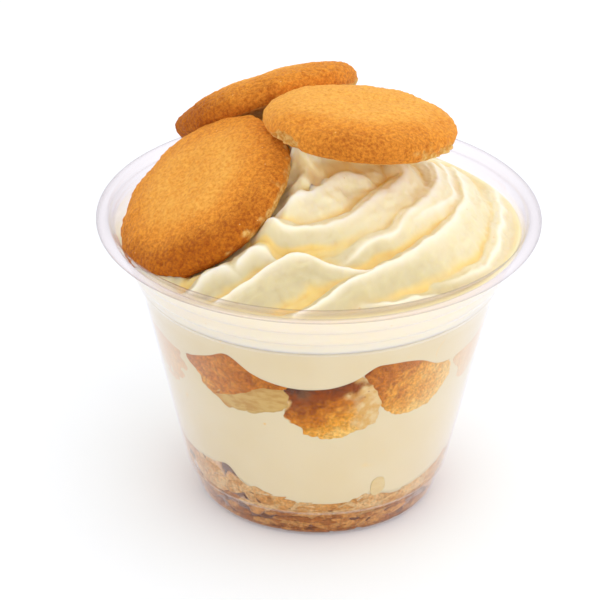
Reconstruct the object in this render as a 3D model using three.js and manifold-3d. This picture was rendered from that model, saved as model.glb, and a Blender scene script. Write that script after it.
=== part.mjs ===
// Banana pudding in a clear squat dessert cup, with three vanilla wafers on a piped cream swirl.
// Millimetres, +Z up. The origin lies under the centre of the cup's foot, and the front faces -Y.
// A bearing is an angle round the cup, measured from the front towards +X.

import * as THREE from 'three';
import { mergeVertices } from 'three/addons/utils/BufferGeometryUtils.js';
import Module from 'manifold-3d';

// Clear cup
const RIM_RADIUS = 46;
const CUP_HEIGHT = 64;
const WALL = 0.7;
const BEAD_RADIUS = 1.4;
const BEAD_ARC = [-130, 200];
const BEAD_STEPS = 7;
const FOOT_FLAT_RADIUS = 24.2;
const PUNT_RADIUS = 19.5;
const PUNT_HEIGHT = 1.2;
const PUNT_SLOPE = 1.3;
const CUP_SEGMENTS = 48;

// Outer wall as [radius, height]: foot corner, base step, straight taper, three stacking steps, rim.
const WALL_LINE = [
  [25.6, 1.6], [27.1, 6.9], [27.9, 7.6], [36.9, 48],
  [37.5, 50], [38.2, 50.7], [38.9, 53.1], [39.6, 53.8],
  [40.4, 56.5], [41.1, 57.2], [42.6, 61],
];

// Fit between neighbours
const GAP = 0.3;
const FLARE_START = 48;
const FLARE_SLOPE = 0.42;
const FLARE_RELIEF = 0.3;
const FLARE_END = 50;
const FOOT_FILL_RADIUS = 23;
const FOOT_FILL_SLOPE = 0.41;

// Filling
const FILL_SEGMENTS = 40;
const SIDE_LEVELS = [0.25, 0.5, 0.75];
const FLOOR_SHARES = [0, 0.8, 0.92, 1];
const CRUMB_SHARES = [0, 0.5, 0.82, 1];
const CRUMB_LEVEL = 14.5;
const CRUMB_RELIEF = 0.55;
const CRUMB_COVER = 0.6;
const CRUMB_HEAP = { rise: 3, bearing: -48, width: 16 };
const CRUMB_DIP = { rise: -4.2, bearing: 4, width: 38 };
const SPLIT_LEVEL = 38.4;
const CREAM_BASE = 51.5;

// Soaked layer in the middle of the serving
const CORE_RADIUS = 23.5;
const CORE_BEVEL = 3;
const CORE_BOTTOM = 34.5;
const CORE_TOP = 41.1;
const CORE_SHARES = [0.63, 0.72];

// Piped swirl
const SWIRL_EDGE = 60.4;
const SWIRL_PEAK = 82.2;
const SWIRL_POWER = 1.46;
const RIDGE_STARTS = 4;
const RIDGE_COUNT = 6.6;
const RIDGE_PHASE = 0.23;
const RIDGE_DEPTH = 2.8;
const RIDGE_SKEW = 0.9;
const RIDGE_FADE_IN = [0.06, 0.3];
const RIDGE_FADE_OUT = [0.93, 1];
const SWIRL_ROWS = 27;

// Vanilla wafer on top: a low domed biscuit with a flat underside
const WAFER = { radius: 19.6, thickness: 8, edge: 2.8, segments: 28, domeSteps: 4 };
const TOP_WAFERS = {
  top_wafer_left: { at: [-23.5, -7.5, 70.8], axis: [-0.544, -0.24, 0.804] },
  top_wafer_right: { at: [8.4, -2, 84.4], axis: [0.086, 0.145, 0.986] },
  top_wafer_back: { at: [-11.7, 26.5, 76.4], axis: [-0.317, 0.475, 0.821] },
};

// Wafer pieces that lie in the soaked layer with their edges pressed against the wall
const PIECE = { radius: 11.4, thickness: 8.6, edge: 3.4, segments: 12, domeSteps: 3 };
const PIECE_PRESS = 3.2;
const PIECES = [
  { bearing: -32, level: 41.6, lean: 58 },
  { bearing: 7, level: 35, lean: 62 },
  { bearing: 35, level: 39.4, lean: 58 },
  { bearing: 75, level: 38.2, lean: 66 },
  { bearing: 122, level: 39.4, lean: 60 },
  { bearing: 168, level: 36.6, lean: 64 },
  { bearing: 224, level: 39.6, lean: 58 },
  { bearing: 282, level: 38.6, lean: 62 },
];

// Banana slices, flat rounds with soft edges
const BANANA = { radius: 10.5, thickness: 6, edge: 2, segments: 12, domeSteps: 2 };
const BANANAS = [
  { bearing: -28, level: 35.2, lean: 68, press: 3.6 },
  { bearing: 26, level: 13.4, lean: 84, press: 1.2, scale: 0.42 },
  { bearing: 196, level: 38.6, lean: 64, press: 3.6 },
];

const COLOURS = {
  cup: 0xe9edf0,
  crumb: 0xb98b55,
  pudding: 0xf3dc92,
  soaked: 0xc08a4c,
  banana: 0xefdca4,
  cream: 0xf8e8ae,
  wafer: 0xd9994b,
};

const wasm = await Module();
wasm.setup();

const radians = THREE.MathUtils.degToRad;
const { lerp, smoothstep } = THREE.MathUtils;

// A smooth rise round one bearing, with its bearing and width in degrees.
function hump(bearing, shape) {
  const turn = bearing - radians(shape.bearing);
  const apart = Math.atan2(Math.sin(turn), Math.cos(turn));
  return shape.rise * Math.exp(-((apart / radians(shape.width)) ** 2));
}

// Radius of the cup's outer wall at a height.
function wallRadius(height) {
  const above = WALL_LINE.findIndex(([, level]) => level >= height);
  const [highRadius, highLevel] = WALL_LINE[above];
  const [lowRadius, lowLevel] = WALL_LINE[Math.max(above - 1, 0)];
  const share = highLevel > lowLevel ? (height - lowLevel) / (highLevel - lowLevel) : 1;
  return lerp(lowRadius, highRadius, share);
}

// Radius of the filling at a height: clear of the wall, and straight past the steps in it.
function fillRadius(height) {
  const inset = WALL + GAP;
  if (height > FLARE_START) {
    const flare = FLARE_SLOPE * (height - FLARE_START);
    const relief = FLARE_RELIEF * smoothstep(height, FLARE_START, FLARE_END);
    return wallRadius(FLARE_START) + flare - inset - relief;
  }
  const foot = FOOT_FILL_RADIUS + FOOT_FILL_SLOPE * height;
  return Math.min(foot, wallRadius(height) - inset);
}

// A body turned round Z from a profile of [radius, height].
function turned(profile, segments) {
  const points = profile.map(([radius, height]) => new THREE.Vector2(radius, height));
  return new THREE.LatheGeometry(points, segments).rotateX(Math.PI / 2);
}

// Moves each vertex to where a rule puts it.
function reshape(geometry, rule) {
  const position = geometry.getAttribute('position');
  const point = new THREE.Vector3();
  for (let i = 0; i < position.count; i += 1) {
    rule(point.fromBufferAttribute(position, i));
    position.setXYZ(i, point.x, point.y, point.z);
  }
  return geometry;
}

// A boolean solid from a closed geometry, and back again.
function solidOf(geometry) {
  const bare = geometry.clone();
  bare.deleteAttribute('normal');
  bare.deleteAttribute('uv');
  const merged = mergeVertices(bare, 1e-3);
  const corners = merged.index.array;
  const kept = [];
  for (let i = 0; i < corners.length; i += 3) {
    const [a, b, c] = corners.slice(i, i + 3);
    if (a !== b && b !== c && c !== a) {
      kept.push(a, b, c);
    }
  }
  const vertProperties = merged.getAttribute('position').array;
  return new wasm.Manifold(new wasm.Mesh({ numProp: 3, vertProperties, triVerts: new Uint32Array(kept) }));
}

// The main body of a cut solid, without loose scraps.
function mainBody(solid) {
  const bodies = solid.decompose();
  return bodies.reduce((largest, body) => (body.volume() > largest.volume() ? body : largest));
}

function geometryOf(solid) {
  const { vertProperties, triVerts } = mainBody(solid).getMesh();
  const geometry = new THREE.BufferGeometry();
  geometry.setAttribute('position', new THREE.BufferAttribute(vertProperties, 3));
  geometry.setIndex(new THREE.BufferAttribute(triVerts, 1));
  geometry.computeVertexNormals();
  return geometry;
}

// Cup: one thin wall from the punt in the base up to a rolled bead.
function cupGeometry() {
  const bead = [];
  for (let step = 0; step <= BEAD_STEPS; step += 1) {
    const angle = radians(lerp(...BEAD_ARC, step / BEAD_STEPS));
    bead.push([
      RIM_RADIUS - BEAD_RADIUS + BEAD_RADIUS * Math.cos(angle),
      CUP_HEIGHT - BEAD_RADIUS + BEAD_RADIUS * Math.sin(angle),
    ]);
  }
  const base = [
    [0, PUNT_HEIGHT], [PUNT_RADIUS, PUNT_HEIGHT],
    [PUNT_RADIUS + PUNT_SLOPE, 0], [FOOT_FLAT_RADIUS, 0],
  ];
  const inside = WALL_LINE.filter(([, level]) => level <= FLARE_START)
    .concat([WALL_LINE.at(-1)])
    .map(([radius, level]) => [radius - WALL, level])
    .reverse();
  const floor = base.map(([radius, level]) => [Math.max(radius - WALL / 3, 0), level + WALL]).reverse();
  return turned([...base, ...WALL_LINE, ...bead, ...inside, ...floor], CUP_SEGMENTS);
}

// A layer of the filling between two surfaces, each a height by bearing and share of the radius.
// The rows of a surface lie at its shares, and a twist winds the columns round towards the wall.
function layerGeometry(under, over, { floorShares, topShares, twist = 0 }) {
  const profile = [
    ...floorShares.map((share) => [share, 0]),
    ...SIDE_LEVELS.map((level) => [1, level]),
    ...topShares.map((share) => [share, 1]).reverse(),
  ];
  return reshape(turned(profile, FILL_SEGMENTS), (point) => {
    const share = Math.hypot(point.x, point.y);
    const bearing = Math.atan2(point.x, -point.y) + twist * share;
    const height = lerp(under(bearing, share), over(bearing, share), point.z);
    const radius = share * fillRadius(height);
    point.set(radius * Math.sin(bearing), -radius * Math.cos(bearing), height);
  });
}

// Underside of the filling: over the punt in the middle, down into the foot at the edge.
function floorLevel(bearing, share) {
  return lerp(PUNT_HEIGHT, 0, smoothstep(share, ...FLOOR_SHARES.slice(1, 3))) + WALL + GAP;
}

// Top of the crumb base: low at the front, heaped at the front left, craggy all over.
function crumbLevel(bearing, share) {
  const heap = hump(bearing, CRUMB_HEAP) + hump(bearing, CRUMB_DIP);
  const crags = Math.cos(5 * bearing + 7 * share) + Math.cos(8 * bearing - 9 * share);
  return CRUMB_LEVEL + share ** 2 * (heap + CRUMB_RELIEF * crags);
}

function lowerPuddingFloor(bearing, share) {
  return crumbLevel(bearing, share) + CRUMB_COVER;
}

// Where the two puddings meet: level near the wall, parted in the middle by the soaked core.
function lowerPuddingTop(bearing, share) {
  return lerp(CORE_BOTTOM - GAP, SPLIT_LEVEL - GAP / 2, smoothstep(share, ...CORE_SHARES));
}

function upperPuddingFloor(bearing, share) {
  return lerp(CORE_TOP + GAP, SPLIT_LEVEL + GAP / 2, smoothstep(share, ...CORE_SHARES));
}

function upperPuddingTop() {
  return CREAM_BASE - GAP / 2;
}

function creamFloor() {
  return CREAM_BASE + GAP / 2;
}

// Top of the swirl: a dome carrying spiral ridges that wind inwards, steep on their inner side.
function swirlLevel(bearing, share) {
  const dome = lerp(SWIRL_PEAK, SWIRL_EDGE, share ** SWIRL_POWER);
  const turns = share * RIDGE_COUNT + (RIDGE_STARTS * bearing) / (2 * Math.PI) + RIDGE_PHASE;
  const phase = 2 * Math.PI * turns;
  const wave = Math.sin(phase + RIDGE_SKEW * Math.sin(phase));
  const reach = smoothstep(share, ...RIDGE_FADE_IN) * (1 - smoothstep(share, ...RIDGE_FADE_OUT));
  return dome + (RIDGE_DEPTH / 2) * reach * (wave - 1);
}

// A round biscuit or slice: flat underside, bulging edge, low dome. Its widest circle lies at z = 0.
const UNDERSIDE_SHARE = 0.9;
const BULGE_SHARE = 0.98;
const BULGE_DROP = 0.6;
const DOME_SHOULDER = 0.85;
const DOME_RISE = 1.15;

function roundGeometry({ radius, thickness, edge, segments, domeSteps }, grow = 0) {
  const wide = radius + grow;
  const rise = thickness - edge + grow;
  const profile = [
    [0, -edge - grow],
    [wide * UNDERSIDE_SHARE, -edge - grow],
    [wide * BULGE_SHARE, -edge * BULGE_DROP - grow],
  ];
  for (let step = 0; step < domeSteps; step += 1) {
    const angle = (step / domeSteps) * (Math.PI / 2);
    profile.push([wide * Math.cos(angle) ** DOME_SHOULDER, rise * Math.sin(angle) ** DOME_RISE]);
  }
  profile.push([0, rise]);
  return turned(profile, segments);
}

// Where a round lies when its edge is pressed against the cup's wall.
function pressedPlace({ bearing, level, lean, press = PIECE_PRESS, scale = 1 }, { radius }) {
  const turn = radians(bearing);
  const tip = radians(lean);
  const outward = new THREE.Vector3(Math.sin(turn), -Math.cos(turn), 0);
  const axis = outward.clone().multiplyScalar(Math.cos(tip)).setZ(Math.sin(tip));
  const reach = fillRadius(level) - radius * scale * Math.sin(tip) + press * scale;
  return placed(outward.multiplyScalar(reach).setZ(level), axis, scale);
}

function placed(at, axis, scale = 1) {
  const turn = new THREE.Quaternion().setFromUnitVectors(new THREE.Vector3(0, 0, 1), axis.normalize());
  return new THREE.Matrix4().compose(at, turn, new THREE.Vector3(scale, scale, scale));
}

const serving = new THREE.Group();

function addMesh(name, geometry, colour, roughness) {
  const material = new THREE.MeshStandardMaterial({ color: colour, roughness, metalness: 0 });
  const mesh = new THREE.Mesh(geometry, material);
  mesh.name = name;
  serving.add(mesh);
  return mesh;
}

// Cup
const cup = addMesh('cup', cupGeometry(), COLOURS.cup, 0.08);
cup.material.transparent = true;
cup.material.opacity = 0.25;

// Pieces in the soaked layer, each cut to the cup and clear of those already laid
const fill = solidOf(layerGeometry(floorLevel, creamFloor, { floorShares: FLOOR_SHARES, topShares: [0, 1] }));
const laid = [];

function clearOfLaid(solid) {
  return laid.reduce((rest, earlier) => rest.subtract(earlier), solid);
}

function addCut(name, geometry, colour, roughness) {
  addMesh(name, geometryOf(clearOfLaid(solidOf(geometry))), colour, roughness);
}

function layRound(name, size, spot, colour) {
  const place = pressedPlace(spot, size);
  const round = solidOf(roundGeometry(size).applyMatrix4(place));
  addMesh(name, geometryOf(clearOfLaid(round.intersect(fill))), colour, 0.8);
  laid.push(solidOf(roundGeometry(size, GAP).applyMatrix4(place)));
}

PIECES.forEach((spot, index) => layRound(`layer_wafer_${index + 1}`, PIECE, spot, COLOURS.soaked));
BANANAS.forEach((spot, index) => layRound(`banana_slice_${index + 1}`, BANANA, spot, COLOURS.banana));

// Core of the soaked layer, which runs through the serving inside the ring of pieces
const corner = CORE_RADIUS - CORE_BEVEL;
const coreProfile = [
  [0, CORE_BOTTOM], [corner, CORE_BOTTOM], [CORE_RADIUS, SPLIT_LEVEL], [corner, CORE_TOP], [0, CORE_TOP],
];
addCut('soaked_layer', turned(coreProfile, FILL_SEGMENTS), COLOURS.soaked, 0.85);

// Layers from the base up to the cream
const crumbShares = { floorShares: FLOOR_SHARES, topShares: CRUMB_SHARES };
const lowerShares = { floorShares: CRUMB_SHARES, topShares: [0, ...CORE_SHARES, 1] };
const upperShares = { floorShares: [0, ...CORE_SHARES, 1], topShares: [0, 1] };
addCut('crumb_base', layerGeometry(floorLevel, crumbLevel, crumbShares), COLOURS.crumb, 0.9);
addCut('pudding_lower', layerGeometry(lowerPuddingFloor, lowerPuddingTop, lowerShares), COLOURS.pudding, 0.4);
addCut('pudding_upper', layerGeometry(upperPuddingFloor, upperPuddingTop, upperShares), COLOURS.pudding, 0.4);

// Wafers on top, and the cream that they sink into
const topShares = Array.from({ length: SWIRL_ROWS + 1 }, (_, row) => row / SWIRL_ROWS);
const twist = (-2 * Math.PI * RIDGE_COUNT) / RIDGE_STARTS;
let swirl = solidOf(layerGeometry(creamFloor, swirlLevel, { floorShares: [0, 1], topShares, twist }));
for (const [name, { at, axis }] of Object.entries(TOP_WAFERS)) {
  const place = placed(new THREE.Vector3(...at), new THREE.Vector3(...axis));
  const wafer = addMesh(name, roundGeometry(WAFER), COLOURS.wafer, 0.75);
  wafer.applyMatrix4(place);
  swirl = swirl.subtract(solidOf(roundGeometry(WAFER, GAP).applyMatrix4(place)));
}
addMesh('cream_swirl', geometryOf(swirl), COLOURS.cream, 0.45);

export default serving;
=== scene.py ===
"""Looks of a banana pudding in a clear cup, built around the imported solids.

Shapes are worked out in millimetres and become metres when a mesh is made. A bearing is an angle round
the cup from the front (-Y) towards +X. A depth is a distance in from the cup's outer wall.
"""

import math

import bmesh
import bpy
import numpy as np
from mathutils import Matrix, Vector


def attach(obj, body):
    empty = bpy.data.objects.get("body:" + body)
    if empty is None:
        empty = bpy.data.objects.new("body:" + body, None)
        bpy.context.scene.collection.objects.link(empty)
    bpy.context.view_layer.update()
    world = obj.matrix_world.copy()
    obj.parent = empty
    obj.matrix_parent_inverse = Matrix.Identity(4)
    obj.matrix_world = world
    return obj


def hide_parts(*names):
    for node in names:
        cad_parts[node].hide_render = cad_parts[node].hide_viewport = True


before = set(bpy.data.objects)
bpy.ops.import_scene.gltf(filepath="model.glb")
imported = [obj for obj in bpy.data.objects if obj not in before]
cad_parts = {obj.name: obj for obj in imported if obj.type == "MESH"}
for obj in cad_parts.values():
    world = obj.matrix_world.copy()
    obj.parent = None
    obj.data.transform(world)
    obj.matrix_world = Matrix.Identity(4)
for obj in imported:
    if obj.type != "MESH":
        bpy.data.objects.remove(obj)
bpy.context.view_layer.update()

MM = 0.001

# Camera, from the rim, foot and wall lines of the photograph
CAMERA_ELEVATION = 29
CAMERA_ROLL = 0.4
CAMERA_TARGET = Vector((0, 0, 30))
CAMERA_DISTANCE = 751
CAMERA_AIM_RIGHT = -3.8
CAMERA_AIM_UP = 11.1
CAMERA_LENS = 213.7
CAMERA_SENSOR = 36

# Clear cup: outer wall as (radius, height) from the foot corner over the steps to the rim, and the rolled rim
# from the end of the outer wall round to the end of the inner one
WALL = 0.7
FOOT = (24.4, 0)
WALL_LINE = (
    (25.6, 1.6), (27.1, 6.9), (27.9, 7.6), (36.9, 48),
    (37.5, 50), (38.2, 50.7), (38.9, 53.1), (39.6, 53.8),
    (40.4, 56.5), (41.1, 57.2), (42.6, 61),
)
BASE_LINE = ((0, 1.55), (18.7, 1.55), (19.9, 0.35), (24.3, 0.35), (25.2, 1.7))
STEP_ROUNDING = 0.45
RIM_LINE = (
    (42.58, 60.88), (43, 61.32), (43.6, 61.42), (44.3, 61.24), (45, 61.3), (45.65, 61.75), (45.98, 62.45),
    (45.85, 63.2), (45.3, 63.78), (44.6, 64), (43.85, 63.8), (43.3, 63.2), (42.95, 62.5), (42.45, 61.85),
    (41.93, 61.13),
)
RIM_STEPS = 46
BEAD_BETWEEN = (60.8, 61.8)
CUP_SEGMENTS = 240

# How deep each layer lies in from the outer wall, and the soft lower lip of the upper pudding
UPPER_DEPTH = 0.34
PIECE_DEPTH = 0.4
BANANA_DEPTH = 0.49
BIT_DEPTH = 0.37
LOWER_DEPTH = 0.5
CRUMB_DEPTH = 0.4
BED_DEPTH = 1.1
UPPER_LIP = 0.35
UPPER_LIP_DEPTH = 1.6
LOWER_RECESS = 0.15
LOWER_RECESS_BETWEEN = (-0.4, 1.6)
PUDDING_OVERLAP = 1.2

# Levels round the wall as (bearing, height)
UPPER_EDGE = (
    (-67, 42.5), (-50, 42), (-38, 44.5), (-31, 46.5), (-22, 43), (-12, 41), (0, 40.5), (6, 41), (14, 43),
    (20, 45.5), (24, 45.5), (37, 44), (43, 42), (61, 41.5), (85, 44), (122, 42.5), (150, 44.5), (168, 41),
    (196, 42.5), (224, 45), (255, 42),
)
LOWER_EDGE = (
    (-67, 35.5), (-57, 36), (-53, 42), (-44, 35.5), (-36, 33.5), (-28, 33), (-12, 33.5), (-7, 30.5), (0, 29),
    (9, 28.5), (26, 32.5), (38, 32), (46, 35), (52, 40), (57, 37), (65, 35), (80, 33.5), (100, 38), (122, 34),
    (145, 37), (168, 31), (196, 33.5), (210, 36), (224, 34), (250, 38), (270, 35),
)
CRUMB_EDGE = (
    (-65, 16), (-57, 16), (-47, 16.5), (-37, 16.5), (-34, 14.5), (-29, 13), (-23, 11.5), (-12, 11), (0, 10),
    (14, 10), (21, 11.5), (24, 12.5), (28, 12), (34, 11), (45, 11.5), (56, 12.5), (67, 13.5), (90, 13),
    (120, 16), (150, 12.5), (180, 15), (215, 12), (245, 15.5), (270, 14),
)
SPLIT_LEVEL = 50.4
WALL_COLUMNS = 420
PUDDING_ROWS = 36

# Piped swirl on a dome: crest lines of its folds in plan, from the inner to the outer end, with the rise over
# the crevices and the widths of the inner and outer side spread along each line. They come again half a turn
# on. The back has two more.
SWIRL_EDGE = (
    (-150, 59.5), (-110, 58), (-75, 57), (-50, 58), (-30, 60), (-10, 60.5), (60, 60.5), (95, 60),
    (130, 59.5), (170, 60.5),
)
SWIRL_PEAK = 82.2
SWIRL_POWER = 1.46
SWIRL_FOLDS = (
    {"line": ((8.5, -11.5), (6, -12.5), (1.5, -16), (-3, -19), (-9, -21)),
     "rise": (1.5, 3, 3.2, 2), "inner": (2, 1.6), "outer": (5, 5.5, 5)},
    {"line": ((16, -4), (17.5, -6), (16, -10.5), (12, -16), (7.5, -21), (4.5, -23), (-1.5, -24.5), (-7, -25),
              (-11, -23)),
     "rise": (3, 3.3, 3.4, 3.6), "inner": (3, 3.4, 3), "outer": (6.5, 6.5, 4.5, 2, 2.6)},
    {"line": ((23.5, 8), (24.5, 4), (24.5, -1.5), (22, -10.5), (18.5, -17), (14.5, -23.5), (10.5, -25.5),
              (7, -28.5), (4.5, -30), (1.5, -30.5)),
     "rise": (2.4, 3, 3, 2.4, 0.8), "inner": (4, 4, 4, 6.5, 6.5), "outer": (5, 5.5, 5, 2.2, 1.5)},
    {"line": ((25.5, 15.5), (27, 3), (27.5, -1), (26.5, -6.5), (24.5, -10), (19.5, -18)),
     "rise": (1.8, 2.2, 2.3, 2.2, 1.4), "inner": (2.4,), "outer": (4,)},
    {"line": ((28, 22), (29, 9.5), (30, -1.5), (29.5, -5.5), (27, -14), (23.5, -20), (18.5, -26), (11.5, -32),
              (4.5, -36), (-1.5, -39.5), (-4.5, -41)),
     "rise": (2.2, 3, 3.2, 3.4, 2.4), "inner": (3, 3, 2.8, 2.4, 2.4), "outer": (6, 7, 6, 4.5, 4)},
    {"line": ((27.5, 35), (33.5, 26), (36, 21.5), (38, 6), (37.5, -5.5), (35.5, -15.5), (33.5, -20),
              (30.5, -23.5), (23, -29.5)),
     "rise": (2, 2.2, 2.2, 2, 1), "inner": (5, 5, 5, 3, 2), "outer": (3, 3.4, 3, 2.4, 2)},
    {"line": ((26, -30.5), (15, -36), (7, -38.5)),
     "rise": (1, 1.8, 1.8, 1), "inner": (2.2, 2.8), "outer": (4,)},
    {"line": ((11.5, -31.5), (5.5, -32), (3, -31.5), (-1, -30), (-8.5, -30.5), (-14, -33), (-20, -35)),
     "rise": (2, 2.5, 2.9, 3.1, 3, 2.4), "inner": (1.6, 1.8), "outer": (2.2, 3.6, 6, 7, 6)},
    {"line": ((-6.5, -30.5), (-10, -28), (-12, -27.5), (-16, -28.5)),
     "rise": (0.8, 1.8, 2), "inner": (2,), "outer": (5,)},
    {"line": ((-14.5, -31.5), (-17, -29.5), (-25.5, -29.5)),
     "rise": (0.8, 2, 2.2), "inner": (2,), "outer": (5, 6)},
)
BACK_FOLDS = (
    {"line": ((21, 9), (22, 14), (21, 19), (17.5, 23.5), (12, 26.5), (5, 28)),
     "rise": (1.2, 2.8, 3, 2.8, 1.5), "inner": (2.6, 3), "outer": (4,)},
    {"line": ((15, 12), (15.5, 15.5), (13, 20), (8, 23), (2, 24)),
     "rise": (1.5, 2.6, 2.6, 1.5), "inner": (3,), "outer": (4,)},
)
FOLD_DEPTH = 3.2
FOLD_BLEND = 0.25
FOLD_STEPS = 110
CREST_ROUNDING = 0.2
# How narrow the painted highlight along each crest is
CREST_HIGHLIGHT_SHARPNESS = 14
GROOVE_DEPTH = 0.15
GROOVE_PITCH = 1.7
CORE_RISE = 3
CORE_WIDTH = 13
COLUMN_AT = (-3.5, -6.5)
COLUMN_RISE = 5.5
COLUMN_WIDTH = 5.5
TORN_AT = (-2, -11)
TORN_WIDTH = 9
# Painted light: a lighter patch of cream under the right top wafer
PAINTED_LIFT_AT = (6, -10)
PAINTED_LIFT_WIDTH = (16, 9)
# Painted shade on the front of the swirl, between these two places along Y
FRONT_SHADE_BETWEEN = (-20, -30)
# Reach of the painted yellow shade in the hollows
HOLLOW_SHADE_REACH = 12

# Layers of noise as (size, wavelength, seed or step from a piece's own seed)
FOLD_WARP = ((0.16, 9, 0), (0.03, 3, 2))
FOLD_WARP_SEEDS = (11, 12)
CREAM_LUMPS = ((0.14, 6, 17), (0.08, 3, 18), (0.03, 1.4, 19))
TORN_LUMPS = ((0.7, 5.5, 21), (0.25, 3, 22), (0.04, 1.5, 23))
WAFER_WOBBLE = ((0.009, 22, 0), (0.004, 5, 1))
WAFER_RELIEF = ((0.12, 8, 5), (0.05, 2.4, 6), (0.06, 1.2, 7))
PIECE_CRUMBLE = ((0.02, 2.2, 0), (0.01, 1, 1))

# Grid of the swirl: rows as (share of the radius from, to, count), columns as (bearing from, to, count)
SWIRL_FOLDED = (1, 0.3, 165)
SWIRL_COVERED = (0.3, 0.02, 22)
SWIRL_FRONT = (-85, 115, 540)
SWIRL_BACK = (115, 275, 220)
SIDE_ROWS = 20

# Vanilla wafers on top: a low dome with a soft edge and a flat underside. For each its place, size and axis,
# how brown its dome and its rim are and which way it browns, with painted shade on its darker side, the bare
# patches of its rim as direction, spread and bite, and how far the cream is piled up round it. That pile lies
# at a share of the wafer's radius.
WAFER_RADIUS = 19.6
WAFER_DOME = 5.2
WAFER_FULLNESS = 2.7
WAFER_EDGE = 2.8
WAFER_FLAT = 0.9
WAFER_SEGMENTS = 340
WAFER_DOME_ROWS = 80
WAFER_SIDE_ROWS = 12
WAFER_FLAT_ROWS = 16
WAFER_SEED = 200
WAFER_SEED_STEP = 20
CREAM_GAP = 0.15
PILE_AT = 1.08
PILE_WIDTH = 0.1
TOP_WAFERS = {
    "left": {"at": (-23.3, -7.5, 70.4), "size": 1.03, "axis": (-0.544, -0.24, 0.804),
             "dome": 0.16, "rim": 0.5, "bake_and_shade": 1, "brown_and_shade": -105, "bare": ((-28, 44, 0.1),), "pile": 1.6},
    "right": {"at": (8.4, -2, 84.4), "size": 1, "axis": (0.086, 0.145, 0.986),
              "dome": -0.05, "rim": 0.1, "bake_and_shade": 0.75, "brown_and_shade": -80,
              "bare": ((216, 16, 0.7), (-24, 30, 0.5)), "pile": 0},
    "back": {"at": (-11.1, 26.5, 76), "size": 1.03, "axis": (-0.317, 0.475, 0.821),
             "dome": 0.1, "rim": 0.53, "bake_and_shade": 0.95, "brown_and_shade": 190, "bare": ((10, 16, 0.5),), "pile": 1},
}

# Soaked wafers and banana slices against the wall: outlines as (bearing, height), and for each piece its
# outline and, if any, how far it is moved and how much pudding veils it; for a wafer how brown it is, which
# way it browns, with painted shade across it, and how broken its sides are; for a slice its depth,
# thickness and golden edge
PIECE_THICKNESS = 7.5
PIECE_EDGE = 2
PIECE_SPREAD = 1.035
PIECE_COLUMNS = 180
PIECE_ROWS = 26
BIT_THICKNESS = 3.2
OUTLINES = {
    "left": (
        (-49, 43), (-37, 46.5), (-28, 47), (-22, 44.5), (-16, 42.5), (-9.5, 41), (-13.5, 40), (-16, 40.5),
        (-24, 38), (-29.5, 36.5), (-34.5, 35.5), (-39, 35), (-42, 35.5), (-44, 37), (-45.5, 39),
        (-48.5, 40.5),
    ),
    "centre": (
        (-10, 41), (-4, 43), (3, 43.5), (10, 44), (13.5, 43.5), (17.5, 42.5), (20.5, 40), (22.5, 36.5),
        (22.5, 33.5), (21.5, 30.5), (14.5, 29), (10.5, 28), (4.5, 27.5), (0, 28), (-4, 28.5), (-6.5, 30.5),
        (-10, 31.5), (-12, 33), (-10.5, 36.5), (-9.5, 38.5), (-11, 40),
    ),
    "right": (
        (15.5, 44), (19.5, 46), (24, 46.5), (31, 45.5), (38.5, 44.5), (44.5, 42.5), (51, 40.5), (52.5, 38),
        (50.5, 35), (46.5, 33), (42.5, 31.5), (37, 31), (30, 31.5), (25.5, 33), (23, 35), (20, 39.5),
        (17, 42),
    ),
    "slice": (
        (-40, 35), (-35, 37), (-25.5, 39.5), (-16.5, 41), (-10, 39.5), (-10, 36.5), (-12, 34.5), (-17, 33.5),
        (-23.5, 32.5), (-28.5, 32.5), (-33.5, 32.5), (-37.5, 34),
    ),
    "bit": ((23, 12), (23.5, 14.5), (26, 15.5), (28.5, 15), (30, 12.5), (28.5, 11), (25, 10.5)),
}
WALL_WAFERS = (
    {"outline": "left", "bake_and_shade": 0.62, "brown_and_shade": (0.06, 0.14)},
    {"outline": "centre", "bake_and_shade": 0.74, "brown_and_shade": (-0.34, 0.7), "broken": 1},
    {"outline": "right", "bake_and_shade": 0.4, "brown_and_shade": (-0.34, 0.22)},
    {"outline": "left", "move": (103, -2), "bake_and_shade": 0.3, "brown_and_shade": (0.2, 0.1), "veil": 0.6},
    {"outline": "right", "move": (88, 0.5), "bake_and_shade": 0.4, "brown_and_shade": (-0.2, 0.2)},
    {"outline": "centre", "move": (162, 1), "bake_and_shade": 0.55, "brown_and_shade": (-0.3, 0.3), "broken": 1},
    {"outline": "left", "move": (254, -1), "bake_and_shade": 0.5, "brown_and_shade": (0.1, 0.2)},
    {"outline": "right", "move": (257, 0.5), "bake_and_shade": 0.3, "brown_and_shade": (0.2, 0.1), "veil": 0.6},
)
BANANA_SLICES = (
    {"outline": "slice", "depth": BANANA_DEPTH, "thickness": PIECE_THICKNESS, "golden": 1},
    {"outline": "bit", "depth": BIT_DEPTH, "thickness": BIT_THICKNESS, "veil": 0.7},
    {"outline": "slice", "move": (222, 1), "depth": BANANA_DEPTH, "thickness": PIECE_THICKNESS, "golden": 1},
)

# Broken wafers at the bottom, from the foot up: how many, between which levels, half their width and height,
# and how pale the darkest is
CRUMB_GROUPS = (
    {"count": 90, "levels": (0.9, 1.5), "wide": (1.8, 3.6), "tall": (0.7, 1.2), "tone": 0.22},
    {"count": 190, "levels": (1.2, 7.2), "wide": (1.8, 4.2), "tall": (0.7, 1.5), "tone": 0.29},
    {"count": 130, "levels": (6.6, 30), "wide": (3, 6.5), "tall": (1.5, 2.8), "tone": 0.62},
)
CRUMB_SEED = 7
CRUMB_ROUNDS = 5.618
CRUMB_SLOPE = 0.22
CRUMB_TONES = 0.35
CRUMB_LOWEST = 0.75
BED_BOTTOM = 1.6
BED_SINK = 2.4
BED_MIDDLE = 14
BED_ROWS = 24

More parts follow.
